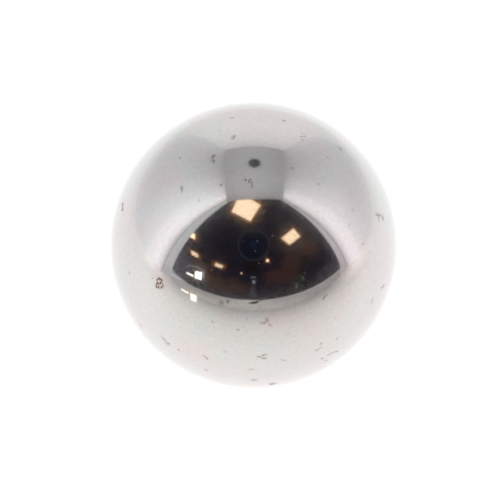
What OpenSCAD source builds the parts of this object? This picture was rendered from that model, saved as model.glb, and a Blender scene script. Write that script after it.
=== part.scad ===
// Steel ball
// A hardened ball, ground and polished to a mirror, with corrosion pits eaten into its surface.
// Millimetres. The origin is the centre of the ball, -Y is the front and +Z points up.

/* [Ball] */
// Diameter over the polished surface
ball_d = 27; // [19:1:51]
// Number of facets round the ball on screen
ball_facets = 180; // [60:20:240]

/* [Corrosion] */
// Depth of a pit as a share of its width
pit_slope = 0.15; // [0.08:0.01:0.24]
// Width of every pit, 1 being as found
pit_size = 1; // [0.6:0.1:1.4]
// Number of facets round each pit on screen
pit_facets = 24; // [16:4:32]

/* [Hidden] */

ball_r = ball_d / 2;
// Share of a pit's width between neighbouring scoops of one streak
streak_step = 0.62;
// A streak's end scoops are narrower than its middle by this share
streak_taper = 0.35;
polished_steel = [0.80, 0.80, 0.79];

// Places on the ball are [longitude, latitude] in degrees: 0, 0 faces the front,
// longitude grows towards +X and latitude towards +Z.

// Round pits: [longitude, latitude, width in mm]
round_pits = [
    // upper left
    [-79, 60, 0.24], [-54, 54, 0.26], [-38, 54, 0.20], [-28, 63, 0.22], [-8, 67, 0.22], [-105, 76, 0.22],
    // upper right
    [43, 68, 0.20], [52, 57, 0.24], [80, 60, 0.20], [97, 54, 0.24], [60, 41, 0.26], [45, 43, 0.24], [53, 38, 0.22],
    // lower left
    [-45, 18, 0.28], [-59, 12, 0.22], [-13, 19, 0.22], [-19, 12, 0.22], [-16, 10, 0.26], [-24, 6, 0.22],
    [-52, -11, 0.24], [-38, -9, 0.26], [-31, -11, 0.28], [-27, -10, 0.22], [-14, -9, 0.24], [-11, -4, 0.26],
    // lower middle and right
    [-3, 13, 0.24], [-6, 8, 0.22], [0, -24, 0.26], [13, 5, 0.20], [29, -16, 0.26], [34, -6, 0.24],
    [45, 13, 0.22], [53, 2, 0.24], [61, 3, 0.26], [57, 25, 0.22]
];

// Streaks: [longitude, latitude, length in mm, width in mm, turn from level in degrees]
streaks = [
    [-84, 26, 0.75, 0.24, 80],
    [-55, 71, 0.85, 0.26, 70],
    [-80, 82, 0.60, 0.24, 25],
    [-3, 66, 0.55, 0.24, -35],
    [74, 29, 0.70, 0.26, -40],
    [77, 25, 0.50, 0.24, -35],
    [97, 71, 0.60, 0.22, 15],
    [-19, -10, 0.65, 0.28, 60],
    [3, -6, 1.05, 0.34, -12],
    [-1, -14, 0.55, 0.24, 5],
    [11, -9, 0.50, 0.22, 0],
    [26, -7, 0.55, 0.24, 55],
    [31, -14, 0.60, 0.26, 50],
    [8, -31, 0.75, 0.28, 5]
];

// Clusters, where pits have grown into one another: [longitude, latitude, spread in mm, width in mm]
clusters = [
    [-41, 18, 0.62, 0.42],
    [4, 12, 0.46, 0.30]
];

// Turns the +Z axis to a place on the ball, with the children's +X level and their +Y to the north.
module on_ball(place) {
    rotate([0, 0, place[0]])
        rotate([90 - place[1], 0, 0])
            children();
}

// A ball-nosed scoop that opens a round pit of this width in the surface at +Z.
// "out" and "along" slide it over the surface, in mm to the right and to the north.
module scoop(width, along = [0, 0]) {
    depth = width * pit_slope;
    nose_r = (width * width / 4 + depth * depth) / (2 * depth);
    rotate([-asin(along[1] / ball_r), asin(along[0] / ball_r), 0])
        translate([0, 0, ball_r - depth + nose_r])
            sphere(r = nose_r, $fn = pit_facets);
}

// A row of scoops in line, narrower towards both ends, for a scratch that has rusted.
module streak(length, width, turn) {
    count = max(2, ceil(length / (width * streak_step)));
    reach = (length - width) / 2;
    for (i = [0 : count - 1]) {
        t = 2 * i / (count - 1) - 1;
        scoop(width * (1 - streak_taper * t * t), reach * t * [cos(turn), sin(turn)]);
    }
}

// A large pit ringed by smaller ones that have run together with it.
module cluster(spread, width) {
    scoop(width);
    for (i = [0 : 4])
        scoop(width * (0.50 + 0.07 * (i % 3)), spread / 2 * [cos(20 + i * 74), sin(20 + i * 74)]);
}

module corrosion() {
    for (p = round_pits)
        on_ball(p) scoop(p[2] * pit_size);
    for (s = streaks)
        on_ball(s) streak(s[2] * pit_size, s[3] * pit_size, s[4]);
    for (c = clusters)
        on_ball(c) cluster(c[2] * pit_size, c[3] * pit_size);
}

module ball() {
    color(polished_steel)
        difference() {
            sphere(r = ball_r, $fn = ball_facets);
            corrosion();
        }
}

ball();
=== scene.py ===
# Steel ball: a hardened ball ground and lapped to a mirror, with rusted pits in its surface.
# Metres, in the frame of the CAD model: the origin is the ball's centre, -Y the front, +Z up.

import math
import random

import bpy
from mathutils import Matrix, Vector


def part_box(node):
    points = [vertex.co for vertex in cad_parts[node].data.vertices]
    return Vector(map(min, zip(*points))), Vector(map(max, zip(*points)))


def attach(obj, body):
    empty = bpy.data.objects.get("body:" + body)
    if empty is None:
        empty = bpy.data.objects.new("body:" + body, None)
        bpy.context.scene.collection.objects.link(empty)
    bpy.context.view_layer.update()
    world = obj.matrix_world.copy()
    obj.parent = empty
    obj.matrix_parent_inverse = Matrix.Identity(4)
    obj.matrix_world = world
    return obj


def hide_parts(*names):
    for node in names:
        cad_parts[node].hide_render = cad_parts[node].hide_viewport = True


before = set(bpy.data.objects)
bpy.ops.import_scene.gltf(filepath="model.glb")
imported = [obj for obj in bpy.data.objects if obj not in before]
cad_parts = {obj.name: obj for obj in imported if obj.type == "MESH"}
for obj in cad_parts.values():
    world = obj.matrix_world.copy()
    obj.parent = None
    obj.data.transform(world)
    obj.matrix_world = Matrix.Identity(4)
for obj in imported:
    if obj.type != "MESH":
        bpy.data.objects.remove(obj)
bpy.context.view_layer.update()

MM = 0.001
BALL_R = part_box("ball")[1].z
FLOOR_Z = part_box("ball")[0].z
X, Y, Z = 0, 1, 2


# ---------------- shared helpers

def linear(hex_colour):
    """An sRGB colour, written as six hex digits, as the linear values that shaders take."""
    channels = [int(hex_colour[i:i + 2], 16) / 255 for i in (0, 2, 4)]
    return [c / 12.92 if c <= 0.04045 else ((c + 0.055) / 1.055) ** 2.4 for c in channels] + [1.0]


def add_node(tree, kind, settings=None, links=None, values=None):
    """Adds a node, sets its properties and input values, and links its inputs. A node given as a link
    stands for its first output."""
    node = tree.nodes.new(kind)
    for name, value in (settings or {}).items():
        setattr(node, name, value)
    for key, value in (values or {}).items():
        node.inputs[key].default_value = value
    for key, source in (links or {}).items():
        socket = source.outputs[0] if isinstance(source, bpy.types.Node) else source
        tree.links.new(socket, node.inputs[key])
    return node


def empty_material(name):
    """A material and its node tree, which is still to be filled."""
    material = bpy.data.materials.new(name)
    material.use_nodes = True
    material.node_tree.nodes.clear()
    return material, material.node_tree


def mesh_object(name, points, faces, material):
    """A mesh object at the origin, from points in millimetres."""
    mesh = bpy.data.meshes.new(name)
    mesh.from_pydata([Vector(p) * MM for p in points], [], faces)
    mesh.materials.append(material)
    thing = bpy.data.objects.new(name, mesh)
    bpy.context.scene.collection.objects.link(thing)
    return thing


# ---------------- camera

CAMERA_ELEVATION = math.radians(42)
CAMERA_DISTANCE = 180 * MM
CAMERA_REACH = 20
LENS_MM = 136.9
SENSOR_MM = 36
# The ball lies a little right of and above the middle of the view.
AIM = Vector((-0.35, 0, -0.57)) * MM


def make_camera():
    """A long lens in front of the ball, looking down at it."""
    data = bpy.data.cameras.new("camera")
    data.sensor_width = SENSOR_MM
    data.lens = LENS_MM
    data.clip_start = 5 * MM
    data.clip_end = CAMERA_REACH
    camera = bpy.data.objects.new("camera", data)
    back = Vector((0, -math.cos(CAMERA_ELEVATION), math.sin(CAMERA_ELEVATION)))
    camera.location = AIM + back * CAMERA_DISTANCE
    camera.rotation_euler = back.to_track_quat("Z", "Y").to_euler()
    bpy.context.scene.collection.objects.link(camera)
    bpy.context.scene.camera = camera
    return camera


camera = make_camera()


# ---------------- light from the surroundings

def tint(hex_colour):
    """A light's colour at full green, so that a level means as much in every tint."""
    colour = linear(hex_colour)
    return [channel / colour[1] for channel in colour[:3]]


def light_level(tree, axes, ramps):
    """A light level that follows stops along each axis, multiplied together.
    Each ramp is (axis, [(millimetres, level), ...])."""
    product = None
    for axis, stops in ramps:
        first, last = stops[0][0], stops[-1][0]
        brightest = max(level for _, level in stops)
        share = add_node(tree, "ShaderNodeMapRange", links={"Value": axes.outputs[axis]},
                         values={"From Min": first * MM, "From Max": last * MM})
        ramp = add_node(tree, "ShaderNodeValToRGB", links={"Fac": share})
        points = ramp.color_ramp.elements
        for place, level in stops[1:-1]:
            points.new((place - first) / (last - first))
        for point, (_, level) in zip(points, stops):
            point.color = [level / brightest] * 3 + [1]
        scaled = add_node(tree, "ShaderNodeMath", {"operation": "MULTIPLY"},
                          {0: ramp.outputs["Color"]}, {1: brightest})
        if product is None:
            product = scaled
        else:
            product = add_node(tree, "ShaderNodeMath", {"operation": "MULTIPLY"}, {0: product, 1: scaled})
    return product


def glow(name, *lights, hole=None):
    """A surface that gives its own light: the sum of lights, each a colour and the ramps that its level
    follows. A hole is (centre in mm, half sizes in mm, softness of its edge, colour seen through it)."""
    material, tree = empty_material(name)
    place = add_node(tree, "ShaderNodeTexCoord")
    axes = add_node(tree, "ShaderNodeSeparateXYZ", links={0: place.outputs["Object"]})
    total = None
    for colour, ramps in lights:
        lit = add_node(tree, "ShaderNodeVectorMath", {"operation": "SCALE"},
                       {"Scale": light_level(tree, axes, ramps)}, {0: tint(colour)})
        if total is not None:
            lit = add_node(tree, "ShaderNodeVectorMath", {"operation": "ADD"}, {0: total, 1: lit})
        total = lit
    light = add_node(tree, "ShaderNodeEmission", links={"Color": total})
    if hole:
        centre, half_sizes, softness, hole_colour = hole
        off = add_node(tree, "ShaderNodeVectorMath", {"operation": "SUBTRACT"},
                       {0: place.outputs["Object"]}, {1: Vector(centre) * MM})
        shaped = add_node(tree, "ShaderNodeVectorMath", {"operation": "DIVIDE"},
                          {0: off}, {1: Vector(half_sizes) * MM})
        away = add_node(tree, "ShaderNodeVectorMath", {"operation": "LENGTH"}, {0: shaped})
        share = add_node(tree, "ShaderNodeMapRange", {"interpolation_type": "SMOOTHSTEP"},
                         {"Value": away.outputs["Value"]},
                         {"From Min": 1 - softness, "From Max": 1 + softness})
        dark = add_node(tree, "ShaderNodeEmission", values={"Color": linear(hole_colour)})
        light = add_node(tree, "ShaderNodeMixShader", links={0: share, 1: dark, 2: light})
    add_node(tree, "ShaderNodeOutputMaterial", links={"Surface": light})
    return material


def steady(name, hex_colour, level=1.0):
    """A surface of one even light: the colour as it is written, times the level."""
    material, tree = empty_material(name)
    light = add_node(tree, "ShaderNodeEmission", values={"Color": linear(hex_colour), "Strength": level})
    add_node(tree, "ShaderNodeOutputMaterial", links={"Surface": light})
    return material


def surroundings(name, points, faces, material):
    """Something round the ball that shows only as a reflection and as light, never to the camera."""
    thing = mesh_object(name, points, faces, material)
    thing.visible_camera = False
    return thing


def surround_panel(name, corners, material):
    """A single flat face of the surroundings, from its corners in order."""
    return surroundings(name, corners, [tuple(range(len(corners)))], material)


# ---------------- light box

# The light box is open at the front, and its sides and back lean in towards its roof. It and everything
# round it are in millimetres. Each list of levels of light is [(place along an axis, level), ...].
FLOOR = FLOOR_Z / MM
ROOF = 430
TABLE_EDGE = -800
SHEET_FRONT = -97

# Plan of each side: low front corner, low back corner, high front corner, high back corner,
# and the hem's width at the foot and at the top
SIDES = {"left": ((-200, -98), (-205, 420), (-158, -105), (-160, 308), 27, 19),
         "right": ((268, -105), (225, 440), (170, -90), (170, 310), 25, 6)}
STITCH = 4
# The fabric is gathered into each front corner at the foot.
GATHERS = {"left": [(-200, -98, FLOOR), (-184, -98, FLOOR), (-193, -98, 8), (-198, -98, 30)],
           "right": [(270, -104, FLOOR), (232, -104, FLOOR), (250, -104, 4), (263, -104, 28)]}

SIDE_TINT, WARM_TINT = "f7f9fe", "fff0ea"
# Light on each side, from its front edge to the back
ALONG_SIDE = {
    "left": [(-72, 0.68), (-67, 0.74), (-62, 1.02), (-56, 1.25), (-50, 1.38), (-42, 1.47), (-28, 1.42),
             (-15, 1.34), (0, 1.18), (40, 1.02), (90, 0.86), (150, 0.81), (240, 0.80), (330, 0.84),
             (390, 0.93), (420, 0.98)],
    "right": [(-78, 0.68), (-72, 0.87), (-68, 1.02), (-62, 1.20), (-56, 1.28), (-50, 1.37), (-42, 1.43),
              (-15, 1.36), (0, 1.19), (40, 1.04), (90, 0.88), (150, 0.82), (240, 0.78), (330, 0.81),
              (390, 0.91), (420, 0.97)]}
# Warm light from the room on the front of each side, from front to back and from foot to top
WARM_FRONT = {
    "left": ([(-86, 0.3), (-74, 0.9), (-60, 1.0), (-48, 0.2), (-30, 0.0)],
             [(80, 0.0), (160, 0.24), (280, 0.48), (400, 0.60)]),
    "right": ([(-80, 0.3), (-60, 1.0), (-45, 0.55), (-10, 0.0)], [(150, 0.0), (280, 0.20), (370, 0.30)])}
# Each hem is a double thickness that no light gets through: its tint, and its light from foot to top.
HEMS = {"left": ("f4fbff", [(-14, 0.60), (2, 0.62), (16, 0.75), (420, 0.69)]),
        "right": ("fbf8fd", [(0, 0.61), (50, 0.71), (150, 0.72), (260, 0.63), (420, 0.60)])}
SEAM_TINT = "f6f8ff"
SEAMS = {"left": [(0, 0.50), (200, 0.44), (400, 0.52)], "right": [(0, 0.40), (200, 0.34), (400, 0.42)]}


def between(a, b, share):
    """The point that lies this share of the way from a to b."""
    return tuple(p + (q - p) * share for p, q in zip(a, b))


def cut_points(front, back, hem):
    """Where a side's edge starts, where its hem and its seam end, and where it ends."""
    depth = back[Y] - front[Y]
    return [between(front, back, share) for share in (0, hem / depth, (hem + STITCH) / depth, 1)]


def wall(name, low_a, low_b, high_a, high_b, material):
    """A strip of wall from the floor to the roof, between its corners in plan."""
    surround_panel(name, [(*low_a, FLOOR), (*low_b, FLOOR), (*high_b, ROOF), (*high_a, ROOF)], material)


def make_walls():
    """Lit white fabric. Light falls off up the walls and is thrown back by the floor at their foot."""
    falls_off = (Z, [(0, 0.965), (130, 0.96), (250, 0.835), (310, 0.785), (370, 0.72), (430, 0.58)])
    far_top = [(Y, [(200, 0.0), (300, 0.6), (360, 1.0), (420, 1.0)]),
               (Z, [(120, 0.0), (250, 0.17), (430, 0.17)])]
    off_floor = [(Y, [(40, 0.0), (90, 0.12), (180, 0.15), (240, 0.17), (330, 0.12), (390, 0.03)]),
                 (Z, [(FLOOR, 1.15), (10, 0.75), (30, 0.4), (60, 0.12), (90, 0.0)])]
    hems = {}
    for side, (low_front, low_back, high_front, high_back, hem_low, hem_high) in SIDES.items():
        warm_along, warm_up = WARM_FRONT[side]
        fabric = glow(f"lit fabric, {side}", (SIDE_TINT, [(Y, ALONG_SIDE[side]), falls_off]),
                      (SIDE_TINT, far_top), (SIDE_TINT, off_floor),
                      (WARM_TINT, [(Y, warm_along), (Z, warm_up)]))
        hem_tint, hem_levels = HEMS[side]
        hems[side] = glow(f"unlit hem, {side}", (hem_tint, [(Z, hem_levels)]))
        seam = glow(f"seam, {side}", (SEAM_TINT, [(Z, SEAMS[side])]))
        low, high = cut_points(low_front, low_back, hem_low), cut_points(high_front, high_back, hem_high)
        for part, material in enumerate([hems[side], seam, fabric]):
            wall(f"{side}_wall_{part}", low[part], low[part + 1], high[part], high[part + 1], material)
    back = glow("lit fabric, back", ("fefeff", [
        (Z, [(100, 1.03), (150, 1.05), (200, 1.06), (290, 1.00), (350, 0.93), (390, 0.84), (430, 0.74)]),
        (X, [(-200, 0.91), (-150, 0.98), (-100, 1.0), (100, 1.0), (150, 0.98), (200, 0.94)])]))
    wall("back_wall", SIDES["left"][1], SIDES["right"][1], SIDES["left"][3], SIDES["right"][3], back)
    for side, corners in GATHERS.items():
        surround_panel(f"{side}_gather", corners, hems[side])


# The hole in the roof: its centre, half sizes, softness of its edge, colour seen through it
ROOF_HOLE = ((4, 147, ROOF), (31, 35, 100), 0.36, "0a0a20")


def make_roof():
    """The roof panel is unlit, its front edge is not straight, and it has an oval hole to look down through.
    """
    fabric = glow("unlit fabric, roof", ("fbfbff", [
        (X, [(-158, 0.48), (-135, 0.485), (-105, 0.51), (-60, 0.55), (0, 0.55), (60, 0.53), (120, 0.47),
             (150, 0.45), (170, 0.49)]),
        (Y, [(-106, 0.66), (-95, 0.70), (-81, 0.80), (-75, 0.85), (-69, 0.92), (-52, 1.0), (0, 1.06),
             (50, 1.07), (100, 1.0), (200, 0.97), (310, 0.93)])]), hole=ROOF_HOLE)
    front_edge = [(-158, -105), (-130, -96), (-110, -97), (40, -94), (80, -88), (110, -87), (140, -85),
                  (172, -88)]
    outline = front_edge + [SIDES["right"][3], SIDES["left"][3]]
    surround_panel("roof", [(*p, ROOF) for p in outline], fabric)


# ---------------- sheet and table

SHEET_REACH = 600
TABLE_REACH = 2000
# Painted marks on the table or the sheet are lifted by a millimetre.
LAID = FLOOR + 1
# Painted reflection of the dark stand under the camera in the glossy table: a dark streak that trails off
# over the table's edge.
STAND_REFLECTION = [(-17, -262), (-12, -230), (0, -218), (8, -238), (17, -310), (27, -400), (60, -560),
         (104, TABLE_EDGE), (84, TABLE_EDGE), (40, -590), (8, -450), (-8, -370), (-17, -310)]
# A pale ledge rises behind the table's far left corner: its outline across and up.
LEDGE = [(-953, FLOOR), (-1062, -2), (-1232, 16), (-1443, 31), (-1640, 62), (-1980, 117), (-1980, FLOOR)]
# Daylight from the window lands on the sheet's front edge.
DAYLIGHT_PATCHES = {"window_patch": [(-109, -107), (-97, -114), (-56, -69), (-59, -63)],
                    "bar_patch": [(-120, -93), (-105, -101), (-90, -86), (-104, -80)]}


def level_rectangle(reach, front, back):
    """The corners of a rectangle at the floor's height, reaching as far to the left as to the right."""
    return [(-reach, front, FLOOR), (reach, front, FLOOR), (reach, back, FLOOR), (-reach, back, FLOOR)]


def make_sheet():
    """The white sheet under the ball, as the ball sees it."""
    creamy, bluish = "fffffd", "fdfeff"
    front = [
        (Y, [(-97, 0.53), (-80, 0.65), (-70, 0.73), (-60, 0.81), (-50, 0.92), (-40, 0.98), (-30, 0.98),
             (-20, 0.87), (-10, 0.58), (0, 0.26), (20, 0.0)]),
        (X, [(-250, 1.16), (-190, 1.13), (-140, 1.03), (-110, 0.95), (-80, 0.95), (-50, 1.0), (0, 1.0),
             (60, 0.88), (80, 0.79), (120, 0.78), (190, 1.03), (250, 1.14)])]
    back = [
        (Y, [(-45, 0.0), (-30, 0.10), (-20, 0.31), (-10, 0.655), (0, 0.95), (20, 1.20), (60, 1.18),
             (150, 1.14), (420, 1.11)]),
        (X, [(-250, 0.90), (-120, 0.91), (-60, 0.98), (0, 0.99), (30, 1.01), (60, 1.00), (110, 0.93),
             (250, 0.86)])]
    beside_ball = [
        (Y, [(-60, 0.0), (-50, 0.08), (-40, 0.20), (-30, 0.28), (-20, 0.28), (0, 0.12), (60, 0.0)]),
        (X, [(-140, 0.6), (-90, 0.0), (80, 0.0), (120, 1.0), (190, 0.65)])]
    sheet = glow("white sheet", (creamy, front), (bluish, back), (creamy, beside_ball))
    surround_panel("sheet", level_rectangle(SHEET_REACH, SHEET_FRONT, SHEET_REACH), sheet)


def make_table():
    """The glossy table in front of the sheet. It mirrors the room, and the light box lights it near by."""
    gloss, tree = empty_material("glossy white table")
    place = add_node(tree, "ShaderNodeTexCoord")
    axes = add_node(tree, "ShaderNodeSeparateXYZ", links={0: place.outputs["Object"]})
    near = light_level(tree, axes, [
        (Y, [(-450, 0.0), (-300, 0.15), (-200, 0.33), (-165, 0.50), (-130, 0.57), (-112, 0.52),
             (-97, 0.49)]),
        (X, [(-190, 0.82), (-140, 0.92), (-60, 0.98), (0, 1.02), (40, 1.01), (60, 0.95), (100, 0.82),
             (140, 0.72), (250, 0.69)])])
    far = light_level(tree, axes, [
        (Y, [(-800, 0.58), (-450, 0.58), (-300, 0.44), (-200, 0.24), (-150, 0.08), (-97, 0.0)]),
        (X, [(-160, 0.84), (-100, 0.96), (-50, 1.24), (0, 1.30), (50, 1.08), (100, 0.95), (250, 0.93)])])
    level = add_node(tree, "ShaderNodeMath", {"operation": "ADD"}, {0: near, 1: far})
    shader = add_node(tree, "ShaderNodeBsdfPrincipled", links={"Emission Strength": level}, values={
        "Base Color": linear("101010"), "Roughness": 0.06, "Emission Color": linear("fafaf6")})
    add_node(tree, "ShaderNodeOutputMaterial", links={"Surface": shader})
    surround_panel("table", level_rectangle(TABLE_REACH, TABLE_EDGE, SHEET_FRONT), gloss)
    # A painted reflection of the dark stand, laid on the table as a dark streak
    surround_panel("stand_reflection", [(*p, LAID) for p in STAND_REFLECTION], steady("painted stand reflection", "1c1c1a"))
    surround_panel("ledge", [(x, TABLE_EDGE, z) for x, z in LEDGE], steady("pale ledge", "acb0b4"))
    daylight = steady("daylight on the sheet", "fffbea", 2.4)
    for name, outline in DAYLIGHT_PATCHES.items():
        surround_panel(name, [(*p, LAID) for p in outline], daylight)


PLAIN_FLOOR_REACH = 3000


def make_plain_floor():
    """The plain white floor that the camera sees under and behind the ball. Nothing else sees it."""
    corners = level_rectangle(PLAIN_FLOOR_REACH, -PLAIN_FLOOR_REACH, PLAIN_FLOOR_REACH)
    floor = mesh_object("floor", corners, [(0, 1, 2, 3)], steady("plain white", "ffffff"))
    floor.visible_glossy = floor.visible_diffuse = False
    floor.visible_transmission = floor.visible_shadow = False


# ---------------- room in front of the light box

# Lights in the ceiling: square panels as (name, middle, half along, half across, the fringe's share of the
# panel's size), and round lamps as (name, middle, radius). Panel c is bare, as the round lamps are.
CEILING = 2000
PANELS = [
    ("a", (-228, -684), (267, -181), (146, 266), 1.2), ("b", (1485, -1745), (251, -182), (182, 251), 1.2),
    ("c", (-2900, -1520), (158, -115), (115, 158), 1.6), ("d", (-3960, -3110), (243, -176), (176, 243), 1.5),
    ("e", (-2430, -4330), (227, -165), (165, 227), 1.6)]
ROUND_LAMPS = [("f", (735, -3460), 78), ("g", (-960, -5470), 50)]
ROUND_FRINGE, ROUND_HALO = 1.6, 2.4
ROUND_LAMP_SIDES = 20
# The fringe and the halo of a lamp lie behind it, each by this much more.
LAYER = 5


def rectangle(middle, side, rise):
    """The corners of a rectangle, from its middle and the halves of its two sides."""
    return [middle - side - rise, middle + side - rise, middle + side + rise, middle - side + rise]


def ceiling_panel(name, middle, along, across, share, height, material):
    """A square panel in the ceiling, drawn at a share of its size."""
    corners = rectangle(Vector(middle), Vector(along) * share, Vector(across) * share)
    surround_panel(name, [(*corner, height) for corner in corners], material)


def round_lamp(name, middle, radius, height, material):
    """A round lamp that hangs facing the ball."""
    centre = Vector((*middle, height))
    side = centre.cross(Vector((0, 0, 1))).normalized() * radius
    rise = side.cross(centre).normalized() * radius
    turns = [2 * math.pi * i / ROUND_LAMP_SIDES for i in range(ROUND_LAMP_SIDES)]
    surround_panel(name, [centre + side * math.cos(a) + rise * math.sin(a) for a in turns], material)


def make_lamps():
    """Warm ceiling lamps, each with a dim orange fringe and a fainter halo."""
    warm = steady("warm lamp", "ffe5c1", 1.80)
    bare = steady("warm lamp, bare", "ffe5c1", 2.60)
    fringe = steady("lamp fringe", "b87038", 0.50)
    halo = steady("lamp halo", "7a4a26", 0.25)

    def layers(name, lamp, fringe_share, halo_share):
        """The three layers of a lamp: name, share of the lamp's size, height, material."""
        return ((f"lamp_{name}", 1, CEILING, lamp),
                (f"fringe_{name}", fringe_share, CEILING + LAYER, fringe),
                (f"halo_{name}", halo_share, CEILING + 2 * LAYER, halo))

    for name, middle, along, across, spread in PANELS:
        lamp = bare if name == "c" else warm
        for part, share, height, material in layers(name, lamp, spread, 2 * spread - 1):
            ceiling_panel(part, middle, along, across, share, height, material)
    for name, middle, radius in ROUND_LAMPS:
        for part, share, height, material in layers(name, bare, ROUND_FRINGE, ROUND_HALO):
            round_lamp(part, middle, radius * share, height, material)


# The window at the left: its panes and the parts of its frame that catch the light, by their corners
WINDOW_PANES = {
    "window": [(-650, -618, 173), (-584, -675, 199), (-580, -693, 105), (-643, -639, 97)],
    "window_bar": [(-718, -551, 95), (-659, -619, 99), (-659, -619, 120), (-718, -551, 113)]}
WINDOW_FRAME = {
    "frame_top": [(-718, -534, 176), (-654, -596, 221), (-654, -596, 230), (-718, -534, 185)],
    "frame_end": [(-654, -596, 221), (-575, -674, 216), (-575, -674, 225), (-654, -596, 230)],
    "frame_side": [(-575, -674, 216), (-566, -683, 216), (-555, -712, 140), (-564, -703, 140)]}

# Small dim things on the far side of the room: name, azimuth and elevation in degrees, width, height, colour
FAR = 1800
FAR_THINGS = [
    ("stand", -0.8, 5.5, 110, 260, "44434c"), ("stand_head", 0.0, 13.5, 72, 95, "94989c"),
    ("stand_arm", -0.4, 17.2, 115, 40, "7c8086"), ("shelf_edge", 32, 5, 60, 150, "5c5c58"),
    ("shelf_end", 38, 9, 60, 110, "565a50"), ("low_shelf", 27, 1.5, 200, 40, "2a2832")]


def make_window():
    """A window that lets in white daylight."""
    daylight = steady("daylight", "fbfff4", 3.2)
    frame_grey = steady("window frame", "b8bcc2")
    for shapes, material in ((WINDOW_PANES, daylight), (WINDOW_FRAME, frame_grey)):
        for name, corners in shapes.items():
            surround_panel(name, corners, material)


def make_far_things():
    """Upright flat shapes that face the ball."""
    for name, azimuth, elevation, width, height, colour in FAR_THINGS:
        a = math.radians(azimuth)
        middle = Vector((math.sin(a), -math.cos(a), math.tan(math.radians(elevation)))) * FAR
        side = Vector((math.cos(a), math.sin(a), 0)) * width / 2
        rise = Vector((0, 0, height / 2))
        surround_panel(name, rectangle(middle, side, rise), steady(name, colour))


# The camera's lens, ring by ring: name, inner and outer radius, colour
LENS_RINGS = [("lens_glow", 0, 9, "081c3c"), ("lens_glass", 9, 27, "000a20"),
              ("lens_rim", 27, 34.9, "04101c"), ("lens_ring", 34.9, 37.7, "303c48")]
LENS_SIDES = 48
# Its middle stands this far above the camera's place.
LENS_RISE = 1.0


def make_lens():
    """Coated glass, dark, with a thin paler ring round it, facing the ball."""
    turn = camera.location.normalized().to_track_quat("Z", "Y")
    for name, inner, outer, colour in LENS_RINGS:
        points, faces = [], []
        for i in range(LENS_SIDES):
            a = 2 * math.pi * i / LENS_SIDES
            points += [(radius * math.cos(a), radius * math.sin(a), 0) for radius in (inner, outer)]
            j = (i + 1) % LENS_SIDES
            faces.append((2 * i, 2 * i + 1, 2 * j + 1, 2 * j))
        part = surroundings(name, points, faces, steady(name, colour))
        part.location = camera.location + turn @ Vector((0, LENS_RISE, 0)) * MM
        part.rotation_euler = turn.to_euler()


# Shapes in the dim room: azimuth and elevation in degrees, half width, half height, colour
ROOM_COLOUR = "120f20"
ROOM_SHAPES = [
    (56, 42, 0.55, 0.45, "25232a"), (-22, 8, 0.50, 0.14, "3f2b26"), (-42, 12, 0.26, 0.18, "48302a"),
    (22, 15, 0.30, 0.20, "3c2827"), (33, 24, 0.20, 0.16, "3a2a26"), (50, 27, 0.22, 0.18, "45322e"),
    (31, 6, 0.12, 0.09, "2c3029"), (46, 15, 0.14, 0.12, "15171b"), (57, 4, 0.28, 0.13, "302e38"),
    (-60, 9, 0.24, 0.22, "4a4c56"), (13, 4, 0.22, 0.08, "22222a"), (-1, 26, 0.14, 0.26, "0a0a0d"),
    (43, 20, 0.13, 0.12, "1b1e1c"), (35, 9, 0.11, 0.10, "2a3028")]
# How far noise pushes the outlines about. Noise is one half on average, so the centres move by half of this.
RAGGED = 0.24


def make_world():
    """A dim room with soft, ragged shapes in it, and plain white where the camera looks past the floor."""
    world = bpy.data.worlds.new("dim room")
    bpy.context.scene.world = world
    world.use_nodes = True
    tree = world.node_tree
    tree.nodes.clear()
    place = add_node(tree, "ShaderNodeTexCoord")
    blur = add_node(tree, "ShaderNodeTexNoise", links={"Vector": place.outputs["Generated"]},
                    values={"Scale": 8.0, "Detail": 4})
    ragged = add_node(tree, "ShaderNodeVectorMath", {"operation": "MULTIPLY_ADD"},
                      {0: blur.outputs["Color"], 2: place.outputs["Generated"]}, {1: (RAGGED,) * 3})
    shade = None
    for azimuth, elevation, half_width, half_height, colour in ROOM_SHAPES:
        a, e = math.radians(azimuth), math.radians(elevation)
        centre = Vector((math.sin(a) * math.cos(e), -math.cos(a) * math.cos(e), math.sin(e)))
        centre += Vector((RAGGED / 2,) * 3)
        off = add_node(tree, "ShaderNodeVectorMath", {"operation": "SUBTRACT"},
                       {0: ragged}, {1: centre})
        shaped = add_node(tree, "ShaderNodeVectorMath", {"operation": "MULTIPLY"}, {0: off},
                          {1: (1 / half_width, 1 / half_width, 1 / half_height)})
        away = add_node(tree, "ShaderNodeVectorMath", {"operation": "LENGTH"}, {0: shaped})
        share = add_node(tree, "ShaderNodeMapRange", {"interpolation_type": "SMOOTHSTEP"},
                         {"Value": away.outputs["Value"]}, {"From Min": 1.0, "From Max": 0.35})
        mix = add_node(tree, "ShaderNodeMix", {"data_type": "RGBA"}, {"Factor": share},
                       {"A": linear(ROOM_COLOUR), "B": linear(colour)})
        if shade is not None:
            tree.links.new(shade, mix.inputs["A"])
        shade = mix.outputs["Result"]
    room = add_node(tree, "ShaderNodeBackground", links={"Color": shade})
    plain = add_node(tree, "ShaderNodeBackground", values={"Color": linear("ffffff")})
    ray = add_node(tree, "ShaderNodeLightPath")
    seen = add_node(tree, "ShaderNodeMixShader", links={0: ray.outputs["Is Camera Ray"], 1: room, 2: plain})
    add_node(tree, "ShaderNodeOutputWorld", links={"Surface": seen})


make_walls()
make_roof()
make_sheet()
make_table()
make_plain_floor()
make_lamps()
make_window()
make_far_things()
make_lens()
make_world()
bpy.context.scene.view_settings.view_transform = "Standard"


# ---------------- places on the ball

# Places on the ball are longitude and latitude in degrees, as in the CAD model: 0, 0 faces the front,
# longitude grows towards +X and latitude towards +Z. Sizes on its surface are in millimetres.

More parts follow.
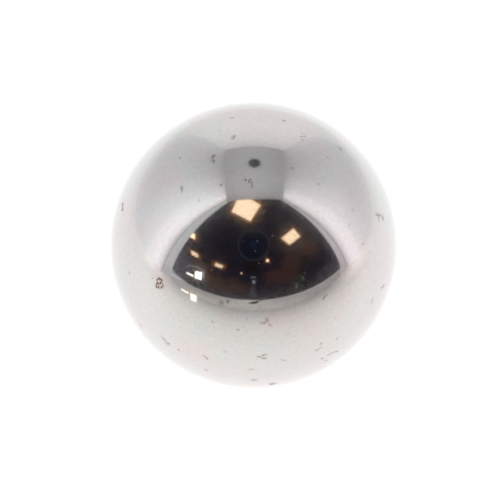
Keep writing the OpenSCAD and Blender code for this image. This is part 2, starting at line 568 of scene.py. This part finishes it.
def on_ball(longitude, latitude, right=0.0, up=0.0):
    """The point of the surface at a place, slid over it by millimetres to the right and to the north."""
    a, e = math.radians(longitude), math.radians(latitude)
    outward = Vector((math.sin(a) * math.cos(e), -math.cos(a) * math.cos(e), math.sin(e)))
    east = Vector((math.cos(a), math.sin(a), 0))
    north = outward.cross(east)
    return (outward * BALL_R + (east * right + north * up) * MM).normalized() * BALL_R


# ---------------- finishes

# Size of each pattern, in mm. Real grains of rust are finer, but wouldn't show.
FILM_PATCH = 5
MOTTLE = 0.40
SCUFF = 0.03
RUST_GRAIN = 0.08
# Patches where the film is warmer: longitude, latitude, reach in mm, strength
WARM_PATCHES = [(42, 33, 8, 0.5), (178, 78, 4, 0.4)]


def pattern(tree, place, patch, noise, spread):
    """Noise with patches this many millimetres across, and its strength spread between limits."""
    uneven = add_node(tree, "ShaderNodeTexNoise", links={"Vector": place.outputs["Object"]},
                      values={"Scale": 1 / (patch * MM)} | noise)
    return add_node(tree, "ShaderNodeMapRange", links={"Value": uneven.outputs["Fac"]}, values=spread)


def lapped_steel():
    """Through-hardened chrome steel, ground and lapped: a clean mirror, nearly neutral in colour. Handling
    has left a thin film that shifts a little between green and pink, warmer on two broad patches. A faint
    mottle greys the mirror unevenly, and fine scuffs veil whatever is dark in it. The skin round each rusted
    pit is stained."""
    material, tree = empty_material("lapped chrome steel")
    place = add_node(tree, "ShaderNodeTexCoord")
    thickness = pattern(tree, place, FILM_PATCH, {"Detail": 5, "Roughness": 0.62},
                        {"From Min": 0.36, "From Max": 0.66})
    colour = add_node(tree, "ShaderNodeMix", {"data_type": "RGBA"}, {"Factor": thickness},
                      {"A": linear("d0d1ce"), "B": linear("d7cdcc")})
    shade = colour.outputs["Result"]
    for longitude, latitude, reach, strength in WARM_PATCHES:
        away = add_node(tree, "ShaderNodeVectorMath", {"operation": "DISTANCE"},
                        {0: place.outputs["Object"]}, {1: on_ball(longitude, latitude)})
        warmth = add_node(tree, "ShaderNodeMapRange", {"interpolation_type": "SMOOTHSTEP"},
                          {"Value": away.outputs["Value"]},
                          {"From Min": reach * MM, "From Max": 0.35 * reach * MM, "To Max": strength})
        warmed = add_node(tree, "ShaderNodeMix", {"data_type": "RGBA"},
                          {"Factor": warmth, "A": shade}, {"B": linear("d7cac7")})
        shade = warmed.outputs["Result"]
    dull = pattern(tree, place, MOTTLE, {"Detail": 3, "Roughness": 0.75},
                   {"From Min": 0.30, "From Max": 0.70, "To Max": 0.20})
    hazed = add_node(tree, "ShaderNodeMix", {"data_type": "RGBA"},
                     {"Factor": dull, "A": shade}, {"B": linear("aeaba8")})
    stain = add_node(tree, "ShaderNodeAttribute", {"attribute_name": "stain"})
    redness = add_node(tree, "ShaderNodeAttribute", {"attribute_name": "redness"})
    stain_colour = add_node(tree, "ShaderNodeMix", {"data_type": "RGBA"},
                            {"Factor": redness.outputs["Fac"]},
                            {"A": linear("a8a5a2"), "B": linear("b89a92")})
    stained = add_node(tree, "ShaderNodeMix", {"data_type": "RGBA"}, {
        "Factor": stain.outputs["Fac"], "A": hazed.outputs["Result"], "B": stain_colour.outputs["Result"]})
    # Real scuffs are a few thousandths of a millimetre wide. They are drawn ten times coarser, which is as
    # fine as their haze needs, and cover a quarter of the skin.
    scuffed = pattern(tree, place, SCUFF, {"Detail": 1},
                      {"From Min": 0.566, "From Max": 0.581, "To Min": 0.06, "To Max": 0.27})
    rough = add_node(tree, "ShaderNodeMath", {"operation": "MULTIPLY_ADD"},
                     {0: stain.outputs["Fac"], 2: scuffed}, {1: 0.20})
    shader = add_node(tree, "ShaderNodeBsdfPrincipled", values={"Metallic": 1.0},
                      links={"Base Color": stained.outputs["Result"], "Roughness": rough})
    add_node(tree, "ShaderNodeOutputMaterial", links={"Surface": shader})
    return material


def rusted_steel():
    """Steel eaten by rust: dull, patchy grey-brown, and redder in the freshest marks."""
    material, tree = empty_material("rusted steel, in pits")
    place = add_node(tree, "ShaderNodeTexCoord")
    patchy = pattern(tree, place, RUST_GRAIN, {"Detail": 2}, {"From Min": 0.40, "From Max": 0.62})
    grey = add_node(tree, "ShaderNodeMix", {"data_type": "RGBA"}, {"Factor": patchy},
                    {"A": linear("8a8480"), "B": linear("a8a29c")})
    redness = add_node(tree, "ShaderNodeAttribute", {"attribute_name": "redness"})
    colour = add_node(tree, "ShaderNodeMix", {"data_type": "RGBA"},
                      {"Factor": redness.outputs["Fac"], "A": grey.outputs["Result"]},
                      {"B": linear("9a776f")})
    shader = add_node(tree, "ShaderNodeBsdfPrincipled", links={"Base Color": colour.outputs["Result"]},
                      values={"Metallic": 0.0, "Roughness": 0.75})
    add_node(tree, "ShaderNodeOutputMaterial", links={"Surface": shader})
    return material


# ---------------- corrosion

# Round pits: longitude, latitude, width of the pit and of its stain
ROUND_PITS = [
    (-79, 60, 0.08), (-38, 54, 0.06), (-28, 63, 0.10), (-8, 67, 0.14), (-105, 76, 0.04), (80, 60, 0.10),
    (45, 43, 0.05), (53, 38, 0.055), (-45, 18, 0.09), (-16, 10, 0.075), (-31, -11, 0.115),
    (-27, -10, 0.06), (-11, -4, 0.05), (-3, 13, 0.04), (-6, 8, 0.085), (13, 5, 0.045), (29, -16, 0.035),
    (34, -6, 0.085), (57, 23, 0.045), (55, 28, 0.06), (33, 6, 0.05), (133, 74, 0.16), (-145, 75, 0.15),
    (-20, -20, 0.14)]

# Round marks that are more stain than pit: longitude, latitude, width
FAINT_PITS = [
    (97, 54, 0.19), (43, 68, 0.13), (52, 57, 0.085), (-59, 12, 0.11), (-52, -11, 0.165), (0, -24, 0.21),
    (53, 2, 0.155), (60, 41, 0.085), (-13, 19, 0.17)]
# Their pits are narrower than that width by this share of it, and their stains wider by as much.
FAINT = 0.6

# Marks where small pits run together: longitude, latitude, width of the pits, how red the rust is, how far
# the mark is stain and not pits, and the lines that it follows, each through points (right, up) on the skin
MARKS = [
    (-41, 18, 0.17, 0.75, 0.0, [
        [(-0.14, 0.41), (0.10, 0.45), (0.23, 0.34), (0.18, 0.13), (-0.01, -0.08), (-0.22, -0.11),
         (-0.33, 0.04), (-0.31, 0.24), (-0.14, 0.41)],
        [(-0.28, -0.14), (-0.32, -0.35), (-0.25, -0.54), (-0.01, -0.47)],
        [(0.29, 0.16), (0.42, 0.02), (0.44, -0.18), (0.25, -0.30)],
        [(-0.08, -0.17), (-0.06, -0.34)]]),
    (-3, 66, 0.10, 0.1, 0.0, [
        [(-0.18, 0.11), (-0.16, 0.26), (-0.03, 0.32), (0.10, 0.27), (0.15, 0.12), (0.12, 0.00),
         (-0.01, -0.04), (-0.15, 0.01), (-0.18, 0.11)],
        [(0.12, -0.03), (0.17, -0.17), (0.13, -0.34)]]),
    (-55, 71, 0.235, 0.0, 0.4, [
        [(-0.06, 0.17), (-0.14, 0.07), (-0.08, -0.04), (0.04, -0.16), (0.20, -0.22)],
        [(-0.12, 0.12), (-0.04, -0.06)],
        [(0.36, -0.22), (0.42, -0.20)]]),
    (74, 29, 0.15, 0.4, 0.6, [
        [(-0.31, 0.33), (0.01, 0.07), (0.32, -0.22)],
        [(-0.03, 0.03), (-0.24, -0.13), (-0.42, -0.30)],
        [(0.49, -0.62), (0.31, -0.78)],
        [(0.60, -0.56), (0.42, -0.72)]]),
    (3, -6, 0.12, 0.3, 0.4, [
        [(-0.40, 0.06), (-0.25, 0.11), (-0.05, -0.04), (0.14, -0.24), (0.36, -0.22)],
        [(0.00, 0.17), (0.29, 0.29)]]),
    (4, 12, 0.07, 1.0, 0.4, [
        [(-0.23, -0.11), (-0.06, -0.18), (0.17, -0.06), (0.33, 0.08)],
        [(0.19, 0.30), (0.15, 0.15)],
        [(0.34, -0.31), (0.54, -0.46)]]),
    (-19, -10, 0.085, 0.6, 0.1, [
        [(-0.19, 0.23), (-0.02, 0.01), (0.15, -0.23)]]),
    (-84, 26, 0.14, 0.0, 0.5, [
        [(-0.48, -0.10), (-0.18, 0.18)],
        [(-0.36, 0.09), (0.36, -0.09)],
        [(-0.30, 0.02), (0.30, -0.13)],
        [(0.22, -0.20), (0.50, 0.08)]]),
    (-54, 54, 0.15, 0.0, 0.3, [
        [(-0.11, 0.12), (0.05, 0.02), (0.20, -0.10)]]),
    (-38, -9, 0.165, 0.0, 0.8, [
        [(-0.09, 0.18), (0.09, 0.06)],
        [(0.28, -0.36), (0.63, -0.12)]]),
    (-80, 82, 0.205, 0.0, 0.4, [
        [(-0.09, 0.19), (0.02, 0.09), (0.16, -0.01)]]),
    (97, 71, 0.055, 0.1, 0.4, [
        [(-0.12, 0.28), (-0.11, 0.06)],
        [(-0.04, -0.06), (0.10, -0.29)],
        [(0.49, 0.02), (0.48, -0.08)],
        [(-0.54, 0.07), (-0.53, -0.05)]]),
    (-1, -14, 0.045, 0.0, 0.0, [
        [(-0.15, -0.08), (0.04, -0.05), (0.24, -0.09)]]),
    (11, -9, 0.022, 0.0, 0.0, [
        [(-0.15, 0.05), (0.06, -0.03), (0.32, -0.14)]]),
    (8, -31, 0.23, 0.0, 0.1, [
        [(-0.20, 0.33), (-0.04, 0.45), (0.15, 0.34), (0.34, 0.05)],
        [(-0.11, 0.10), (0.09, -0.07), (0.28, -0.08)]]),
    (61, 3, 0.16, 0.0, 0.3, [
        [(0.26, -0.04), (-0.01, 0.03), (-0.21, 0.10)]]),
    (26, -7, 0.085, 0.1, 0.3, [
        [(-0.25, -0.25), (-0.10, -0.22), (0.11, -0.07), (0.34, -0.04)],
        [(0.16, 0.61), (0.18, 0.50)]]),
    (31, -14, 0.10, 0.0, 0.3, [
        [(0.04, -0.30), (0.12, -0.19)],
        [(0.24, -0.10), (0.64, -0.17)],
        [(0.90, -0.23), (1.19, -0.30)],
        [(-0.58, -0.32), (-0.39, -0.36)],
        [(-0.03, -1.07), (0.22, -1.27)]]),
    (29, 17, 0.08, 0.0, 0.6, [
        [(-0.13, -0.12), (-0.08, 0.02), (0.08, 0.06), (0.16, 0.14)],
        [(-0.10, -0.10), (0.06, 0.06)]]),
    (-10.5, 19.7, 0.10, 0.0, 0.3, [
        [(-0.01, -0.13), (0.02, 0.11)],
        [(-0.03, -0.05), (0.04, 0.05)]])]

# Pits along a line stand this share of their width apart, drift off it by up to this share, are eaten to
# between these shares of the width, and lose this share of it where the mark is all stain.
PIT_SPACING = 0.8
PIT_DRIFT = 0.2
PIT_EATEN = (0.4, 1.0)
PIT_LOSS = 0.6
PIT_SEED = 27


def along_line(points, step):
    """Points spaced evenly along a line through the given ones."""
    spans = list(zip(points, points[1:]))
    lengths = [math.dist(a, b) for a, b in spans]
    count = max(2, round(sum(lengths) / step) + 1)
    for i in range(count):
        ahead = sum(lengths) * i / (count - 1)
        for (a, b), length in zip(spans, lengths):
            if ahead <= length or (a, b) == spans[-1]:
                break
            ahead -= length
        share = min(ahead / length, 1)
        yield [p + (q - p) * share for p, q in zip(a, b)]


def pit_places():
    """Every pit: its point, its width in mm, the width of its stain, and how red it is."""
    chance = random.Random(PIT_SEED)
    pits = [(on_ball(longitude, latitude), width, width, 0.0) for longitude, latitude, width in ROUND_PITS]
    for longitude, latitude, width in FAINT_PITS:
        pits.append((on_ball(longitude, latitude), width * (1 - FAINT), width * (1 + FAINT), 0.0))
    for longitude, latitude, width, redness, faint, lines in MARKS:
        for line in lines:
            for right, up in along_line(line, width * PIT_SPACING):
                drift_right, drift_up = [chance.uniform(-PIT_DRIFT, PIT_DRIFT) * width for _ in range(2)]
                eaten = width * chance.uniform(*PIT_EATEN)
                pits.append((on_ball(longitude, latitude, right + drift_right, up + drift_up),
                             eaten * (1 - PIT_LOSS * faint), eaten * (1 + faint), redness))
    return pits


def pit_points():
    """A mesh of loose points, one for each pit, that carries what the tree needs to know of it."""
    pits = pit_places()
    mesh = bpy.data.meshes.new("pit_points")
    mesh.from_pydata([pit[0] for pit in pits], [], [])
    for column, name, unit in ((1, "pit_width", MM), (2, "stain_width", MM), (3, "pit_redness", 1)):
        values = mesh.attributes.new(name, "FLOAT", "POINT")
        values.data.foreach_set("value", [pit[column] * unit for pit in pits])
    return mesh


# ---------------- ball

# Different ragged scoops to choose from, and how finely each kind of ball is divided
SCOOP_SHAPES = 6
PIT_FINENESS, SPECK_FINENESS = 3, 2
BALL_FINENESS, SCATTER_FINENESS = 7, 5


def corroded_ball_tree(steel, rust):
    """Geometry Nodes that cut ragged scoops out of a polished ball: one at each given point, and fine
    specks scattered over the surface. The cuts are rusted, and the skin keeps a true ball's normals."""
    tree = bpy.data.node_groups.new("corroded ball", "GeometryNodeTree")
    tree.interface.new_socket("Pit Points", in_out="INPUT", socket_type="NodeSocketGeometry")
    sizes = [("Ball Radius", "NodeSocketFloat", BALL_R), ("Pit Depth Share", "NodeSocketFloat", 0.22),
             ("Ragged Edge", "NodeSocketFloat", 0.60), ("Speck Count", "NodeSocketInt", 400),
             ("Speck Width", "NodeSocketFloat", 0.085 * MM), ("Stain Reach", "NodeSocketFloat", 1.5),
             ("Stain Strength", "NodeSocketFloat", 0.65), ("Seed", "NodeSocketInt", 11)]
    for name, kind, value in sizes:
        tree.interface.new_socket(name, in_out="INPUT", socket_type=kind).default_value = value
    tree.interface.new_socket("Ball", in_out="OUTPUT", socket_type="NodeSocketGeometry")
    given = add_node(tree, "NodeGroupInput").outputs

    def chance(low, high, salt):
        """A random number for each point, between low and high. Each salt gives other numbers."""
        seed = add_node(tree, "ShaderNodeMath", {"operation": "ADD"}, {0: given["Seed"]}, {1: salt})
        drawn = add_node(tree, "FunctionNodeRandomValue", {"data_type": "FLOAT"}, {"Seed": seed},
                         {"Min": low, "Max": high})
        return drawn.outputs["Value"]

    def scoops(fineness):
        """Unit scoops, each dented by its own stretch of noise and marked as rusted."""
        shapes = add_node(tree, "GeometryNodeJoinGeometry")
        for i in range(SCOOP_SHAPES):
            round_scoop = add_node(tree, "GeometryNodeMeshIcoSphere",
                                   values={"Radius": 1.0, "Subdivisions": fineness})
            here = add_node(tree, "GeometryNodeInputPosition")
            shifted = add_node(tree, "ShaderNodeVectorMath", {"operation": "ADD"},
                               {0: here}, {1: (7.0 * i, 0, 0)})
            noise = add_node(tree, "ShaderNodeTexNoise", links={"Vector": shifted},
                             values={"Scale": 1.3, "Detail": 2})
            off_middle = add_node(tree, "ShaderNodeMath", {"operation": "SUBTRACT"}, {0: noise}, {1: 0.5})
            dent = add_node(tree, "ShaderNodeMath", {"operation": "MULTIPLY"},
                            {0: off_middle, 1: given["Ragged Edge"]})
            push = add_node(tree, "ShaderNodeVectorMath", {"operation": "SCALE"}, {0: here, "Scale": dent})
            ragged = add_node(tree, "GeometryNodeSetPosition", links={
                "Geometry": round_scoop.outputs["Mesh"], "Offset": push})
            rusty = add_node(tree, "GeometryNodeStoreNamedAttribute",
                             {"data_type": "FLOAT", "domain": "FACE"}, {"Geometry": ragged},
                             {"Name": "rusted", "Value": 1.0})
            coated = add_node(tree, "GeometryNodeSetMaterial", links={"Geometry": rusty},
                              values={"Material": rust})
            single = add_node(tree, "GeometryNodeGeometryToInstance", links={"Geometry": coated})
            tree.links.new(single.outputs[0], shapes.inputs[0])
        return shapes

    def cut_at(points, width, shapes):
        """Scoops at the points, facing outwards, each turned its own way."""
        place = add_node(tree, "GeometryNodeInputPosition")
        outward = add_node(tree, "FunctionNodeAlignRotationToVector", {"axis": "Z"}, {"Vector": place})
        about = add_node(tree, "FunctionNodeAxisAngleToRotation", {}, {"Angle": chance(0, 2 * math.pi, 1)},
                         {"Axis": (0, 0, 1)})
        turned = add_node(tree, "FunctionNodeRotateRotation", {"rotation_space": "LOCAL"},
                          {"Rotation": outward, "Rotate By": about})
        long_way = add_node(tree, "ShaderNodeMath", {"operation": "MULTIPLY"},
                            {0: width, 1: chance(0.42, 0.62, 2)})
        half = add_node(tree, "ShaderNodeMath", {"operation": "MULTIPLY"}, {0: width}, {1: 0.5})
        deep = add_node(tree, "ShaderNodeMath", {"operation": "MULTIPLY"},
                        {0: width, 1: given["Pit Depth Share"]})
        size = add_node(tree, "ShaderNodeCombineXYZ", links={"X": long_way, "Y": half, "Z": deep})
        pick = add_node(tree, "FunctionNodeRandomValue", {"data_type": "INT"}, {"Seed": given["Seed"]},
                        {"Min": 0, "Max": SCOOP_SHAPES - 1})
        return add_node(tree, "GeometryNodeInstanceOnPoints", {}, {
            "Points": points, "Instance": shapes, "Rotation": turned, "Scale": size,
            "Instance Index": pick.outputs["Value"]}, {"Pick Instance": True})

    ball = add_node(tree, "GeometryNodeMeshIcoSphere", links={"Radius": given["Ball Radius"]},
                    values={"Subdivisions": BALL_FINENESS})
    bright = add_node(tree, "GeometryNodeSetMaterial", links={"Geometry": ball.outputs["Mesh"]},
                      values={"Material": steel})
    pit_width = add_node(tree, "GeometryNodeInputNamedAttribute", {"data_type": "FLOAT"},
                         values={"Name": "pit_width"})
    pits = cut_at(given["Pit Points"], pit_width.outputs["Attribute"], scoops(PIT_FINENESS))

    # Specks lie anywhere on the surface, lifted from the flat faces of a coarse ball to the true radius. The
    # finest real ones wouldn't show, so none is narrower than 0.4 of the widest, and most are near that.
    around = add_node(tree, "GeometryNodeMeshIcoSphere", links={"Radius": given["Ball Radius"]},
                      values={"Subdivisions": SCATTER_FINENESS})
    squared = add_node(tree, "ShaderNodeMath", {"operation": "POWER"}, {0: given["Ball Radius"]}, {1: 2.0})
    area = add_node(tree, "ShaderNodeMath", {"operation": "MULTIPLY"}, {0: squared}, {1: 4 * math.pi})
    density = add_node(tree, "ShaderNodeMath", {"operation": "DIVIDE"}, {0: given["Speck Count"], 1: area})
    scattered = add_node(tree, "GeometryNodeDistributePointsOnFaces", links={
        "Mesh": around.outputs["Mesh"], "Density": density, "Seed": given["Seed"]})
    spot = add_node(tree, "GeometryNodeInputPosition")
    towards = add_node(tree, "ShaderNodeVectorMath", {"operation": "NORMALIZE"}, {0: spot})
    on_skin = add_node(tree, "ShaderNodeVectorMath", {"operation": "SCALE"},
                       {0: towards, "Scale": given["Ball Radius"]})
    lifted = add_node(tree, "GeometryNodeSetPosition", links={
        "Geometry": scattered.outputs["Points"], "Position": on_skin})
    often_low = add_node(tree, "ShaderNodeMath", {"operation": "POWER"}, {0: chance(0.0, 1.0, 3)}, {1: 2.0})
    share = add_node(tree, "ShaderNodeMath", {"operation": "MULTIPLY_ADD"}, {0: often_low},
                     {1: 0.6, 2: 0.4})
    speck_width = add_node(tree, "ShaderNodeMath", {"operation": "MULTIPLY"},
                           {0: given["Speck Width"], 1: share})
    specks = cut_at(lifted, speck_width, scoops(SPECK_FINENESS))

    cut = add_node(tree, "GeometryNodeMeshBoolean", {"operation": "DIFFERENCE", "solver": "MANIFOLD"},
                   {"Mesh 1": bright})
    for cutters in (specks, pits):
        tree.links.new(cutters.outputs[0], cut.inputs["Mesh 2"])
    loose = add_node(tree, "GeometryNodeTriangulate", links={"Mesh": cut.outputs["Mesh"]})

    # The rim of each cut is a sharp edge. Outside it the skin takes the direction straight out of the ball.
    rusted = add_node(tree, "GeometryNodeInputNamedAttribute", {"data_type": "FLOAT"},
                      values={"Name": "rusted"}).outputs["Attribute"]
    on_edges = add_node(tree, "GeometryNodeFieldOnDomain", {"data_type": "FLOAT", "domain": "EDGE"},
                        {0: rusted})
    rim = add_node(tree, "FunctionNodeCompare", {"data_type": "FLOAT", "operation": "EQUAL"},
                   {0: on_edges}, {1: 0.5, "Epsilon": 0.2})
    split = add_node(tree, "GeometryNodeSetMeshNormal", {"mode": "SHARPNESS"},
                     {"Mesh": loose, "Edge Sharpness": rim})
    own = add_node(tree, "GeometryNodeInputNormal")
    place = add_node(tree, "GeometryNodeInputPosition")
    straight = add_node(tree, "ShaderNodeVectorMath", {"operation": "NORMALIZE"}, {0: place})
    in_cut = add_node(tree, "FunctionNodeCompare", {"data_type": "FLOAT", "operation": "GREATER_THAN"},
                      {0: rusted}, {1: 0.5})
    facing = add_node(tree, "GeometryNodeSwitch", {"input_type": "VECTOR"}, {
        "Switch": in_cut, "False": straight, "True": own.outputs["Normal"]})
    shaded = add_node(tree, "GeometryNodeSetMeshNormal", {"mode": "FREE", "domain": "CORNER"},
                      {"Mesh": split, "Custom Normal": facing})

    # Stain: strongest at a pit's edge and gone a little way outside it, in proportion to its own width.
    near = add_node(tree, "GeometryNodeProximity", {"target_element": "POINTS"},
                    {"Geometry": given["Pit Points"]})
    which = add_node(tree, "GeometryNodeSampleNearest", {"domain": "POINT"}, {0: given["Pit Points"]})

    def of_nearest_pit(name):
        """What the nearest given pit carries under this name."""
        carried = add_node(tree, "GeometryNodeInputNamedAttribute", {"data_type": "FLOAT"},
                           values={"Name": name})
        return add_node(tree, "GeometryNodeSampleIndex", {"data_type": "FLOAT", "domain": "POINT"}, {
            "Geometry": given["Pit Points"], "Value": carried.outputs["Attribute"], "Index": which})

    reach = add_node(tree, "ShaderNodeMath", {"operation": "MULTIPLY"},
                     {0: of_nearest_pit("stain_width"), 1: given["Stain Reach"]})
    outwards = add_node(tree, "ShaderNodeMath", {"operation": "DIVIDE"},
                        {0: near.outputs["Distance"], 1: reach})
    fade = add_node(tree, "ShaderNodeMapRange", {"interpolation_type": "SMOOTHSTEP"},
                    {"Value": outwards, "To Max": given["Stain Strength"]},
                    {"From Min": 1.0, "From Max": 0.35})
    marked = shaded
    for name, value in (("stain", fade), ("redness", of_nearest_pit("pit_redness"))):
        marked = add_node(tree, "GeometryNodeStoreNamedAttribute", {"data_type": "FLOAT", "domain": "POINT"},
                          {"Geometry": marked, "Value": value}, {"Name": name})

    real = add_node(tree, "GeometryNodeRealizeInstances", links={0: marked})
    skin = add_node(tree, "GeometryNodeSetMaterial", links={"Geometry": real}, values={"Material": steel})
    eaten = add_node(tree, "GeometryNodeSetMaterial", links={"Geometry": skin, "Selection": in_cut},
                     values={"Material": rust})
    add_node(tree, "NodeGroupOutput", links={"Ball": eaten})
    return tree


def make_ball():
    """The corroded ball as one plain mesh in place of the CAD model's."""
    steel, rust = lapped_steel(), rusted_steel()
    host = bpy.data.objects.new("steel_ball", pit_points())
    bpy.context.scene.collection.objects.link(host)
    modifier = host.modifiers.new("corrosion", "NODES")
    modifier.node_group = corroded_ball_tree(steel, rust)
    evaluated = host.evaluated_get(bpy.context.evaluated_depsgraph_get())
    mesh = bpy.data.meshes.new_from_object(evaluated)
    mesh.name = "steel_ball"
    host.modifiers.clear()
    host.data = mesh
    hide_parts("ball")
    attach(host, "root")


make_ball()
